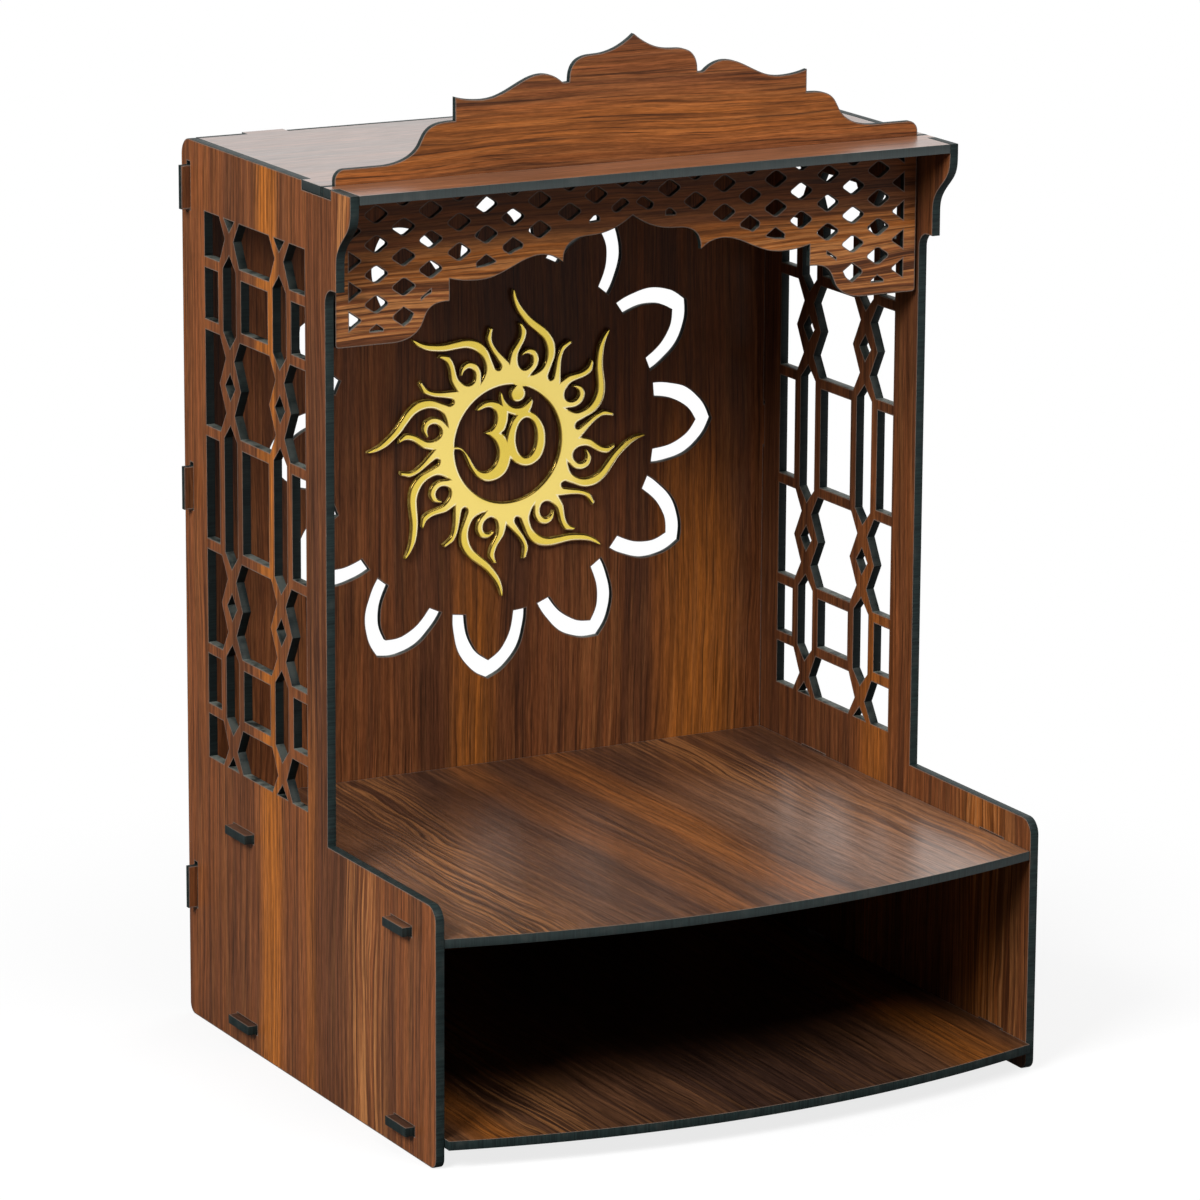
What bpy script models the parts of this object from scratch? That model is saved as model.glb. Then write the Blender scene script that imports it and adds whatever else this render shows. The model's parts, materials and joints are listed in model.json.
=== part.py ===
"""Small flat-pack pooja mandir: laminated boards, laser cut, joined by tabs and slots.

Every board is a closed outline with its holes, drawn in the board's own plane, filled and
extruded to the board's thickness, then turned and placed under one empty. Sizes are in
millimetres. X runs to the right, -Y to the front and Z up. The origin is on the floor in
the middle of the footprint. Depths are counted forwards from the side panels' rear edges.
"""
import math
from collections import namedtuple

import bpy
from mathutils import Vector

MM = 0.001
GAP = 0.3            # clearance between two pieces that meet
ARC_PULL = 0.5523    # handle length of a quarter circle, as a share of its radius

# Boards and overall sizes
WIDTH = 370.0        # over the outer faces of the two side panels
HEIGHT = 503.5       # top of the side panels, the roof and the canopy
BOARD = 5.0          # side panels, shelves, roof and canopy
THIN = 3.3           # back panel and fretwork board
MIDDLE = 0.5 * WIDTH
INNER_LEFT = BOARD + GAP
INNER_RIGHT = WIDTH - BOARD - GAP

# Side panel
UPPER_FRONT = 181.0  # front edge above the base
BASE_FRONT = 310.0
BASE_TOP = 143.8
NOSE = 13.5          # how far the bracket's lower nose stands out in front of the edge
BRACKET = 31.0       # how far the bracket's top stands out
BRACKET_LOW = 54.0   # nose's lower edge below the top
NOSE_TOP = 39.5      # upper end of the nose's straight front, below the top
CHEEK = 8.0          # upper end of the bracket's curve, below the top
BELLY = (1.0, 0.6)   # middle of the bracket's curve, beyond half way out and up
LEAN = (4.6, 4.4)    # pull of the curve on both sides of its middle
FOOT_ROUND = 6.0
BASE_ROUND = 9.0
TOP_ROUND = 10.0
COVE = 8.0           # hollow round under the nose

# Tabs
TAB = 26.0           # rear tabs of the two shelves
FRONT_TAB = 24.0     # front tabs of the two shelves
BACK_TAB = 24.4      # side tabs of the back panel
SLOT_HEAD = 1.9      # free end of a slot above the back panel's tab
TAB_OUT = 5.4        # tab length beyond a side panel's outer face
REAR_TAB = 25.0      # rear tabs of the roof board
REAR_TAB_IN = 35.0   # rear tab's distance from a side panel's outer face
REAR_TAB_OUT = 4.0   # rear tab's length beyond the back panel
ROOF_TAB = 22.3      # roof board's tab in the side notch
CANOPY_TAB = 8.2     # canopy's tab in the side notch

# Back panel and fretwork board
BACK_REAR = 7.6
BACK_FRONT = BACK_REAR + THIN
BACK_TABS = (64.5, HEIGHT - 208.2, HEIGHT - 38.9)
FRETWORK_FRONT = UPPER_FRONT - 1.5
FRETWORK_REAR = FRETWORK_FRONT - THIN
SLACK = 1.6          # play between the fretwork board and a side panel's inner face
HALF_FRET = MIDDLE - BOARD - SLACK
NOTCH_REAR = FRETWORK_REAR - GAP - ROOF_TAB - GAP
NOTCH_FRONT = FRETWORK_FRONT + GAP + CANOPY_TAB + GAP
NOTCH_FLOOR = HEIGHT - BOARD - GAP

# Shelves
DECK_TOP = BASE_TOP - 17.6
DECK_CORNER = BASE_FRONT - 0.5
DECK_BOW = 24.5
SHELF_TOP = 16.6
SHELF_CORNER = BASE_FRONT + 4.5
SHELF_BOW = 26.5
DECK_TABS = ((60.5, TAB), (DECK_CORNER - 52.0, FRONT_TAB))
SHELF_TABS = ((63.0, TAB), (SHELF_CORNER - 54.0, FRONT_TAB))
DEPTH = max(SHELF_CORNER + SHELF_BOW, DECK_CORNER + DECK_BOW)

# Lattice window of a side panel
WINDOW_REAR = 29.5
WINDOW_FRONT = UPPER_FRONT - 25.0
WINDOW_LOW = BASE_TOP + 13.7
WINDOW_TOP = HEIGHT - 37.2
RAIL = 6.4           # level bars
POST = 6.8           # upright bars
LANE = 8.1           # half width of the slot between twin posts
CAP, PANE, OCTAGON, LONG = 24.7, 28.3, 53.4, 57.6     # heights of the rows of openings
NECK = 5.7           # half width of a crossing
SPREAD = 12.9        # corner of an opening, from the column line
CAP_CROSS = 11.0     # topmost crossing below the window's top
CAP_TIP = 8.6        # upper slot's tip below that crossing
CROSS = 15.2         # other crossings, above and below the middle of an octagon
TIP = 6.4            # slot's tip from those crossings
SHOULDER = 8.1       # height of a slot's pointed end
DIAMOND = (6.1, 7.4)
WAIST = 13.9         # point of the diamond's frame, from the column line
CROWNLET = (6.3, 6.6)

# Crest and arch: tip and foot heights, then lengths along the board
CREST_TIP = HEIGHT + 68.7
CREST_FOOT = HEIGHT + 8.6
ARCH_TIP = HEIGHT - 30.0
ARCH_FOOT = HEIGHT - 87.2
CREST_BITE = 39.2    # notch's distance from the middle
ARCH_BITE = 42.3
BITE_WIDTH = 3.8     # flat floor of the crest's notch
CREST_SHOULDER = 26.4
CREST_SLOPE = 44.6
ARCH_SHOULDER = 33.4
ARCH_SLOPE = 34.4
CREST_ROUND = 6.0
VALANCE_ROUND = 2.0

# The profile's cubic stretches: along as a share of the part's length, up as a share of
# the rise from the foot to the tip
HOOD = (((0.0, 1.0), (0.15, 0.917), (0.36, 0.842), (0.62, 0.842)),
        ((0.62, 0.842), (0.84, 0.842), (1.0, 0.799), (1.0, 0.614)))
WAVE = (((0.0, 0.614), (0.05, 0.66), (0.11, 0.702), (0.2, 0.702)),
        ((0.2, 0.702), (0.38, 0.702), (0.53, 0.517), (0.74, 0.517)),
        ((0.74, 0.517), (0.84, 0.517), (0.92, 0.53), (1.0, 0.557)))
SLIDE = (((0.0, 0.347), (0.2, 0.347), (0.36, 0.34), (0.44, 0.205)),
         ((0.44, 0.205), (0.52, 0.05), (0.76, 0.0), (1.0, 0.0)))

# Diamond lattice of the fretwork board
CELL = (7.3, 5.0)    # half width and half height
CELL_ROUND = 0.22    # share of each side that a corner's round takes
CELL_PULL = 0.6      # share of the way to the corner by which the round is pulled
PITCH = 16.1
ROW = 8.03
SEAMS = ((4, 0.85), (8, 2.0))       # columns that stand a little further in
BORDER = 8.2
ROW_TOP = 9.0        # uppermost row's centre below the top
ARCH_MARGIN = 7.4    # plain band above the arch
MULLION = 1.2        # half of the bar left in the middle
ROWS = 10

# Lotus ring of the back panel: half outlines as half width and distance from the centre
PETAL_CENTRE = (MIDDLE + 2.7, HEIGHT - 185.1)
PETAL_TURN = -1.4    # degrees
PETALS = 12
PETAL_OUTER = ((23.5, 102.8), (23.2, 110.1), (19.2, 125.4), (9.3, 137.1), (0.0, 142.0))
PETAL_INNER = ((15.5, 103.7), (13.5, 115.5), (7.5, 126.2), (0.0, 131.7))

# Sun emblem
SUN_CENTRE = (PETAL_CENTRE[0] + 7.5, PETAL_CENTRE[1] - 4.8)
SUN_THICK = 3.0
SUN_HOLE = 33.9
FLAMES = 8

# Directions in a board's own plane
LEFTWARDS, RIGHTWARDS, UPWARDS, DOWNWARDS = (-1, 0), (1, 0), (0, 1), (0, -1)

Knot = namedtuple("Knot", "x y before after")


def clear_scene():
    """Take every object out of the new file."""
    for item in list(bpy.data.objects):
        bpy.data.objects.remove(item, do_unlink=True)


def corners(*points):
    """Knots between straight sides."""
    return [Knot(x, y, None, None) for x, y in points]


def box(x0, y0, x1, y1):
    """Upright rectangle."""
    return corners((x0, y0), (x1, y0), (x1, y1), (x0, y1))


def bend(start, pull, pull_end, end):
    """Cubic stretch from start to end, pulled towards the two points between."""
    return [Knot(*start, None, pull), Knot(*end, pull_end, None)]


def rounded(x, y, radius, before, after):
    """Quarter round in a corner; before and after point from it along its two sides."""
    pull = radius * (1.0 - ARC_PULL)
    (bx, by), (ax, ay) = before, after
    return bend((x + radius * bx, y + radius * by), (x + pull * bx, y + pull * by),
                (x + pull * ax, y + pull * ay), (x + radius * ax, y + radius * ay))


def smooth(points):
    """Curve through points, with a corner at each end."""
    places = [Vector(point) for point in points]
    knots = []
    for i, here in enumerate(places):
        last = places[max(i - 1, 0)]
        following = places[min(i + 1, len(places) - 1)]
        run = (following - last).normalized()
        before = here - run * (here - last).length / 3.0
        after = here + run * (following - here).length / 3.0
        knots.append(Knot(here.x, here.y, tuple(before), tuple(after)))
    knots[0] = knots[0]._replace(before=None)
    knots[-1] = knots[-1]._replace(after=None)
    return knots


def backwards(knots):
    """The same stretch drawn the other way round."""
    return [Knot(k.x, k.y, k.after, k.before) for k in reversed(knots)]


def mirrored(knots, axis):
    """The same stretch seen in an upright mirror, drawn the other way round."""
    def flip(point):
        return None if point is None else (2.0 * axis - point[0], point[1])

    return [Knot(2.0 * axis - k.x, k.y, flip(k.before), flip(k.after))
            for k in backwards(knots)]


def placed(knots, centre, degrees=0.0):
    """A stretch drawn about (0, 0), turned and moved to a centre."""
    c, s = math.cos(math.radians(degrees)), math.sin(math.radians(degrees))

    def turn(point):
        if point is None:
            return None
        x, y = point
        return (centre[0] + x * c - y * s, centre[1] + x * s + y * c)

    return [Knot(*turn((k.x, k.y)), turn(k.before), turn(k.after)) for k in knots]


def welded(knots):
    """Join neighbouring knots that lie on the same spot into one."""
    out = []
    for knot in knots:
        if out and math.dist((knot.x, knot.y), (out[-1].x, out[-1].y)) < 1e-6:
            out[-1] = out[-1]._replace(after=knot.after)
        else:
            out.append(knot)
    if math.dist((out[0].x, out[0].y), (out[-1].x, out[-1].y)) < 1e-6:
        out[0] = out[0]._replace(before=out.pop().before)
    return out


def finish(name, colour, rough, metal=0.0):
    """Principled material of one sub-part."""
    mat = bpy.data.materials.new(name)
    mat.use_nodes = True
    shader = mat.node_tree.nodes["Principled BSDF"]
    shader.inputs["Base Color"].default_value = (*colour, 1.0)
    shader.inputs["Roughness"].default_value = rough
    shader.inputs["Metallic"].default_value = metal
    return mat


def laminate(name):
    """Dark walnut print under a satin coat."""
    return finish(name + "_laminate", (0.19, 0.085, 0.045), 0.38)


def gold_acrylic(name):
    """Gold tinted acrylic sheet."""
    return finish(name + "_acrylic", (0.67, 0.46, 0.09), 0.22, 0.35)


def add_loop(curve, knots, steps):
    """Add one closed outline to a flat curve."""
    knots = welded(knots)
    spline = curve.splines.new("BEZIER")
    spline.bezier_points.add(len(knots) - 1)
    spline.use_cyclic_u = True
    spline.resolution_u = steps
    for point, knot in zip(spline.bezier_points, knots):
        here = (knot.x, knot.y)
        point.handle_left_type = "FREE" if knot.before else "VECTOR"
        point.handle_right_type = "FREE" if knot.after else "VECTOR"
        point.co = (*(c * MM for c in here), 0.0)
        point.handle_left = (*(c * MM for c in knot.before or here), 0.0)
        point.handle_right = (*(c * MM for c in knot.after or here), 0.0)


def board(name, outline, holes, thickness, pose, mat, steps=6, hole_steps=3):
    """Fill an outline round its holes, extrude it and set it in its pose."""
    curve = bpy.data.curves.new(name, "CURVE")
    curve.dimensions = "2D"
    curve.fill_mode = "BOTH"
    curve.extrude = 0.5 * thickness * MM
    add_loop(curve, outline, steps)
    for hole in holes:
        add_loop(curve, hole, hole_steps)
    curve.materials.append(mat)
    item = bpy.data.objects.new(name, curve)
    item.location, item.rotation_euler = pose
    bpy.context.scene.collection.objects.link(item)
    return item


def facing_side(outer_x, inner_x):
    """Pose of a board drawn as depth and height, between two X places."""
    return (0.5 * (outer_x + inner_x) * MM, 0.0, 0.0), (math.pi / 2, 0.0, -math.pi / 2)


def facing_front(front, thickness):
    """Pose of a board drawn as X and height, with its face at a depth."""
    return (0.0, -(front - 0.5 * thickness) * MM, 0.0), (math.pi / 2, 0.0, 0.0)


def lying(top, thickness):
    """Pose of a board drawn as X and depth, with its top at a height."""
    return (0.0, 0.0, (top - 0.5 * thickness) * MM), (math.pi, 0.0, 0.0)


def side_outline():
    """Stepped panel with a bracket at the top front and a notch for roof and canopy."""
    nose, front = UPPER_FRONT + NOSE, UPPER_FRONT + BRACKET
    low, nose_top, cheek = HEIGHT - BRACKET_LOW, HEIGHT - NOSE_TOP, HEIGHT - CHEEK
    middle = (0.5 * (nose + front) + BELLY[0], 0.5 * (nose_top + cheek) + BELLY[1])
    knots = rounded(0.0, 0.0, FOOT_ROUND, UPWARDS, RIGHTWARDS)
    knots += rounded(BASE_FRONT, 0.0, FOOT_ROUND, LEFTWARDS, UPWARDS)
    knots += rounded(BASE_FRONT, BASE_TOP, BASE_ROUND, DOWNWARDS, LEFTWARDS)
    knots += corners((UPPER_FRONT, BASE_TOP))
    knots += rounded(UPPER_FRONT, low, COVE, DOWNWARDS, RIGHTWARDS)
    knots += corners((nose, low))
    knots += bend((nose, nose_top), (nose, nose_top + COVE),
                  (middle[0] - LEAN[0], middle[1] - LEAN[1]), middle)
    knots += bend(middle, (middle[0] + LEAN[0], middle[1] + LEAN[1]),
                  (front, cheek - COVE), (front, cheek))
    knots += corners((front, HEIGHT), (NOTCH_FRONT, HEIGHT), (NOTCH_FRONT, NOTCH_FLOOR),
                     (NOTCH_REAR, NOTCH_FLOOR), (NOTCH_REAR, HEIGHT))
    knots += rounded(0.0, HEIGHT, TOP_ROUND, RIGHTWARDS, DOWNWARDS)
    return knots


def window_column(column, heights, both):
    """Openings on one column line: caps, slots between twin posts, diamonds."""
    top, cap_cross, upper, diamond, lower, middle = heights
    half, depth = CROWNLET
    both([(column - half, top), (column, top - depth), (column + half, top)])

    def slot(high, low):
        return [(column, high), (column + LANE, high - SHOULDER), (column + LANE, low + SHOULDER),
                (column, low), (column - LANE, low + SHOULDER), (column - LANE, high - SHOULDER)]

    both(slot(cap_cross - CAP_TIP, upper + TIP))
    half, depth = DIAMOND
    both([(column - half, diamond), (column, diamond - depth), (column + half, diamond),
          (column, diamond + depth)])
    return slot(lower - TIP, 2.0 * middle - lower + TIP)


def side_window():
    """Lattice of octagons, panes, slots and diamonds, mirrored about its middle height."""
    width = WINDOW_FRONT - WINDOW_REAR
    middle = 0.5 * (WINDOW_LOW + WINDOW_TOP)
    rows = 2.0 * (CAP + PANE + OCTAGON) + LONG
    stretch = (WINDOW_TOP - WINDOW_LOW - 6.0 * RAIL) / rows
    cap_low = WINDOW_TOP - CAP * stretch
    pane_top = cap_low - RAIL
    pane_low = pane_top - PANE * stretch
    wide_top = pane_low - RAIL
    wide_low = wide_top - OCTAGON * stretch
    diamond = 0.5 * (wide_top + wide_low)
    long_top = wide_low - RAIL
    cap_cross = WINDOW_TOP - CAP_CROSS * stretch
    upper, lower = diamond + CROSS * stretch, diamond - CROSS * stretch
    columns = (WINDOW_REAR + 0.25 * width, WINDOW_REAR + 0.75 * width)
    holes = []

    def both(points):
        holes.append(corners(*points))
        holes.append(corners(*((d, 2.0 * middle - z) for d, z in points)))

    for column in columns:
        heights = (WINDOW_TOP, cap_cross, upper, diamond, lower, middle)
        holes.append(corners(*window_column(column, heights, both)))
    twin = LANE + POST
    spans = ((WINDOW_REAR, columns[0]), columns, (columns[1], WINDOW_FRONT))
    for a, b in spans:
        from_a, from_b = float(a != WINDOW_REAR), float(b != WINDOW_FRONT)

        def left(reach):
            return a + from_a * reach

        def right(reach):
            return b - from_b * reach

        both([(left(SPREAD), WINDOW_TOP), (left(NECK), cap_cross), (left(SPREAD), cap_low),
              (right(SPREAD), cap_low), (right(NECK), cap_cross), (right(SPREAD), WINDOW_TOP)])
        both([(left(twin), pane_low), (right(twin), pane_low),
              (right(twin), pane_top), (left(twin), pane_top)])
        both([(left(SPREAD), wide_top), (left(NECK), upper), (left(WAIST), diamond),
              (left(NECK), lower), (left(SPREAD), wide_low), (right(SPREAD), wide_low),
              (right(NECK), lower), (right(WAIST), diamond), (right(NECK), upper),
              (right(SPREAD), wide_top)])
        holes.append(box(left(twin), 2.0 * middle - long_top, right(twin), long_top))
    return holes


def side_slots():
    """Slots for the tabs of the two shelves and the back panel."""
    holes = []
    for top, tabs in ((DECK_TOP, DECK_TABS), (SHELF_TOP, SHELF_TABS)):
        for start, length in tabs:
            holes.append(box(start - GAP, top - BOARD - GAP, start + length + GAP, top + GAP))
    for start in BACK_TABS:
        holes.append(box(BACK_REAR - GAP, start - GAP, BACK_FRONT + GAP,
                         start + BACK_TAB + SLOT_HEAD))
    return holes


def shelf_outline(corner, bow, tabs):
    """Shelf whose front edge is a shallow bow, with two tabs at each end."""
    rear = BACK_FRONT + GAP
    right = corners((INNER_RIGHT, rear))
    for start, length in tabs:
        right += corners((INNER_RIGHT, start), (WIDTH + TAB_OUT, start),
                         (WIDTH + TAB_OUT, start + length), (INNER_RIGHT, start + length))
    lift = corner + bow * 4.0 / 3.0
    third = (INNER_RIGHT - INNER_LEFT) / 3.0
    front = bend((INNER_RIGHT, corner), (INNER_RIGHT - third, lift),
                 (INNER_LEFT + third, lift), (INNER_LEFT, corner))
    return right + front + mirrored(right, MIDDLE)


def crown(tip, foot, bite, bite_width, slope, shoulder):
    """Half profile of the crest or the arch, from the middle line outwards.

    A pointed ogee falls to a notch, swells, dips to a small step and slides down to
    the foot. Places along it are distances from the middle line.
    """
    end = HALF_FRET - shoulder
    step = end - slope
    start = bite + bite_width
    parts = ((HOOD, 0.0, bite), (WAVE, start, step - start), (SLIDE, step, slope))
    knots = []
    for stretches, origin, length in parts:
        for stretch in stretches:
            knots += bend(*((origin + u * length, foot + v * (tip - foot)) for u, v in stretch))
    return knots


def crest():
    """Right half of the crest above the roof."""
    return crown(CREST_TIP, CREST_FOOT, CREST_BITE, BITE_WIDTH, CREST_SLOPE, CREST_SHOULDER)


def arch():
    """Right half of the arch below the canopy."""
    return crown(ARCH_TIP, ARCH_FOOT, ARCH_BITE, 0.0, ARCH_SLOPE, ARCH_SHOULDER)


def fretwork_outline():
    """Crest above the roof, ears in the side notches and the arch below."""
    half = crest()
    half += rounded(HALF_FRET, CREST_FOOT, CREST_ROUND, LEFTWARDS, DOWNWARDS)
    ear = NOTCH_FLOOR + GAP
    half += corners((HALF_FRET, HEIGHT), (MIDDLE, HEIGHT), (MIDDLE, ear), (HALF_FRET, ear))
    half += rounded(HALF_FRET, ARCH_FOOT, VALANCE_ROUND, UPWARDS, LEFTWARDS)
    half += backwards(arch())
    right = placed(half, (MIDDLE, 0.0))
    return right + mirrored(right, MIDDLE)


def polyline(knots, steps):
    """Points along a stretch of knots."""
    points = [(knots[0].x, knots[0].y)]
    for a, b in zip(knots, knots[1:]):
        p0, p3 = Vector((a.x, a.y)), Vector((b.x, b.y))
        if not a.after or not b.before:
            points.append(tuple(p3))
            continue
        p1, p2 = Vector(a.after), Vector(b.before)
        for i in range(1, steps + 1):
            t = i / steps
            u = 1.0 - t
            spot = p0 * u ** 3 + p1 * (3 * u * u * t) + p2 * (3 * u * t * t) + p3 * t ** 3
            points.append(tuple(spot))
    return points


def height_on(points, x):
    """Height of a polyline at a distance from the middle line."""
    x = abs(x)
    for (x0, z0), (x1, z1) in zip(points, points[1:]):
        if x0 <= x <= x1 and x1 > x0:
            return z0 + (z1 - z0) * (x - x0) / (x1 - x0)
    return points[-1][1]


def whole_cell(x, z):
    """Diamond with rounded corners."""
    half, rise = CELL
    tips = [(x + half, z), (x, z + rise), (x - half, z), (x, z - rise)]
    knots = []
    for i, tip in enumerate(tips):
        before, after = Vector(tips[i - 1]), Vector(tips[(i + 1) % 4])
        tip = Vector(tip)
        start, end = tip.lerp(before, CELL_ROUND), tip.lerp(after, CELL_ROUND)
        knots += bend(tuple(start), tuple(start.lerp(tip, CELL_PULL)),
                      tuple(end.lerp(tip, CELL_PULL)), tuple(end))
    return knots


def cut_cell(x, z, floor, limit):
    """Diamond cut off by the plain band above the arch or at a distance from the middle."""
    half, rise = CELL
    inner, outer = max(x - half, MULLION), min(x + half, limit)
    upper, lower = [], []
    steps = 8
    for i in range(steps + 1):
        at = inner + (outer - inner) * i / steps
        reach = rise * (1.0 - abs(at - x) / half)
        low = max(z - reach, floor(at))
        if z + reach > low + GAP:
            upper.append((at, z + reach))
            lower.append((at, low))
    if len(upper) < 3:
        return None
    return corners(*(upper + lower[::-1]))


def fretwork_cells():
    """Diagonal lattice of the valance: whole cells, and cells cut at its borders."""
    edge = polyline(welded(arch()), 8)
    border = HALF_FRET - BORDER
    samples = [ARCH_MARGIN * math.sin(math.radians(a)) for a in range(-80, 81, 20)]

    def floor(x):
        return max(height_on(edge, x + s) + math.sqrt(ARCH_MARGIN ** 2 - s * s) for s in samples)

    cells = []
    column, x = 0, border
    while x > MULLION:
        for row in range(ROWS):
            if (row + column) % 2:
                continue
            z = HEIGHT - ROW_TOP - ROW * row
            spots = (x - CELL[0], x, x + CELL[0])
            clear = all(z - CELL[1] * (spot == x) >= floor(spot) for spot in spots)
            if clear and spots[2] <= border and spots[0] >= MULLION:
                cells.append(whole_cell(x, z))
            else:
                cells.append(cut_cell(x, z, floor, border))
        column += 1
        x -= PITCH + sum(extra for place, extra in SEAMS if place == column)
    right = [placed(knots, (MIDDLE, 0.0)) for knots in cells if knots]
    return right + [mirrored(knots, MIDDLE) for knots in right]


def petals():
    """Twelve pointed bands in a ring, each open towards the middle."""
    outer, inner = smooth(PETAL_OUTER), backwards(smooth(PETAL_INNER))
    band = outer + mirrored(outer, 0.0) + mirrored(inner, 0.0) + inner
    turns = [PETAL_TURN + 360.0 * k / PETALS for k in range(PETALS)]
    return [placed(band, PETAL_CENTRE, turn) for turn in turns]


def back_outline():
    """Back panel with three tabs at each side and two notches for the roof's rear tabs."""
    right = corners((INNER_RIGHT, 0.0))
    for start in BACK_TABS:
        end = start + BACK_TAB
        right += corners((INNER_RIGHT, start), (WIDTH + TAB_OUT, start),
                         (WIDTH + TAB_OUT, end), (INNER_RIGHT, end))
    near, far = REAR_TAB_IN - GAP, REAR_TAB_IN + REAR_TAB + GAP
    right += corners((INNER_RIGHT, HEIGHT), (WIDTH - near, HEIGHT), (WIDTH - near, NOTCH_FLOOR),
                     (WIDTH - far, NOTCH_FLOOR), (WIDTH - far, HEIGHT))
    return right + mirrored(right, MIDDLE)


def roof_outline():
    """Roof board behind the crest, with a tab at each side and two at the rear."""
    rear, front = BACK_FRONT + GAP, FRETWORK_REAR - GAP
    tip = BACK_REAR - REAR_TAB_OUT
    near, far = WIDTH - REAR_TAB_IN, WIDTH - REAR_TAB_IN - REAR_TAB
    side = NOTCH_REAR + GAP
    right = corners((far, rear), (far, tip), (near, tip), (near, rear), (INNER_RIGHT, rear),
                    (INNER_RIGHT, side), (WIDTH, side), (WIDTH, front))
    return right + mirrored(right, MIDDLE)


def canopy_outline():
    """Canopy strip in front of the crest, with a short tab at each end."""
    rear, front = FRETWORK_FRONT + GAP, UPPER_FRONT + BRACKET
    tab = NOTCH_FRONT - GAP
    right = corners((WIDTH, rear), (WIDTH, tab), (INNER_RIGHT, tab), (INNER_RIGHT, front))
    return right + mirrored(right, MIDDLE)


def flame():
    """One eighth of the sun's rim: a small flame, a curl, a tall flame and a leaning one.

    It is drawn with the tall flame upright, clockwise from notch to notch, in millimetres
    from the ring's centre.
    """
    small = smooth(((0.6, 47.9), (2.2, 53.4), (6.6, 59.6), (8.1, 64.6), (6.7, 69.4)))
    small += smooth(((8.6, 69.4), (12.1, 64.8), (10.6, 58.4), (6.8, 51.4), (7.4, 44.8),
                     (11.0, 42.4), (15.3, 45.4), (14.9, 49.8), (11.6, 50.9), (9.3, 50.1)))
    curl = smooth(((8.3, 51.2), (12.6, 54.1), (17.6, 53.0), (20.1, 47.8), (18.6, 42.6),
                   (15.2, 39.0)))
    tall = smooth(((15.2, 39.0), (21.4, 41.6), (25.0, 49.6), (22.4, 58.9), (12.6, 67.9),
                   (5.2, 77.4), (2.8, 85.8), (3.3, 89.3)))
    tall += smooth(((4.2, 89.0), (7.4, 81.4), (15.0, 72.1), (24.6, 64.6), (29.9, 57.2),
                    (30.4, 48.2), (26.2, 37.6), (27.2, 34.9), (29.3, 36.4), (31.3, 46.6),
                    (34.6, 53.8), (40.4, 56.5)))
    leaning = smooth(((41.8, 54.8), (36.4, 50.6), (34.4, 43.6), (34.3, 33.6)))
    return small + curl + tall + leaning


def sun_outline():
    """Ring whose rim is eight groups of flames."""
    knots = []
    for k in range(FLAMES):
        knots += placed(flame(), SUN_CENTRE, -360.0 * k / FLAMES)
    return knots


def circle(centre, radius):
    """Circle of four quarter rounds."""
    quarter = bend((radius, 0.0), (radius, radius * ARC_PULL), (radius * ARC_PULL, radius),
                   (0.0, radius))
    knots = []
    for k in range(4):
        knots += placed(quarter, centre, 90.0 * k)
    return knots


def build():
    """Make every piece of the mandir under one empty."""
    clear_scene()
    side, holes = side_outline(), side_window() + side_slots()
    left, right = facing_side(0.0, BOARD), facing_side(WIDTH, WIDTH - BOARD)
    flat = lying(HEIGHT, BOARD)
    emblem = facing_front(BACK_FRONT + GAP + SUN_THICK, SUN_THICK)
    deck = shelf_outline(DECK_CORNER, DECK_BOW, DECK_TABS)
    shelf = shelf_outline(SHELF_CORNER, SHELF_BOW, SHELF_TABS)
    rows = (
        ("side_panel_left", side, holes, BOARD, left, laminate, 6, 1),
        ("side_panel_right", side, holes, BOARD, right, laminate, 6, 1),
        ("back_panel", back_outline(), petals(), THIN, facing_front(BACK_FRONT, THIN),
         laminate, 1, 3),
        ("roof_board", roof_outline(), [], BOARD, flat, laminate, 1, 1),
        ("canopy_board", canopy_outline(), [], BOARD, flat, laminate, 1, 1),
        ("fretwork_front", fretwork_outline(), fretwork_cells(), THIN,
         facing_front(FRETWORK_FRONT, THIN), laminate, 6, 2),
        ("altar_deck", deck, [], BOARD, lying(DECK_TOP, BOARD), laminate, 24, 1),
        ("bottom_shelf", shelf, [], BOARD, lying(SHELF_TOP, BOARD), laminate, 24, 1),
        ("sun_emblem", sun_outline(), [circle(SUN_CENTRE, SUN_HOLE)], SUN_THICK, emblem,
         gold_acrylic, 2, 12),
    )
    mandir = bpy.data.objects.new("mandir", None)
    mandir.location = (-MIDDLE * MM, 0.5 * DEPTH * MM, 0.0)
    bpy.context.scene.collection.objects.link(mandir)
    for name, outline, cuts, thickness, pose, coat, steps, hole_steps in rows:
        item = board(name, outline, cuts, thickness, pose, coat(name), steps, hole_steps)
        item.parent = mandir


build()
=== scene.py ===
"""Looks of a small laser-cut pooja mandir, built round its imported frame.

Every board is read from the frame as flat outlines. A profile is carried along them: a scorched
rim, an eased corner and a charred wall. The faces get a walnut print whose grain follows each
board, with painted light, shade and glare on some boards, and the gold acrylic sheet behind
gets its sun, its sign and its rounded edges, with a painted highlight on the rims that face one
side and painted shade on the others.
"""
from __future__ import annotations

import json
import logging
import math
from dataclasses import dataclass, field
from enum import Enum
from typing import Sequence

import bpy
import numpy as np
from mathutils import Matrix, Vector
from mathutils.geometry import delaunay_2d_cdt

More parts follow.
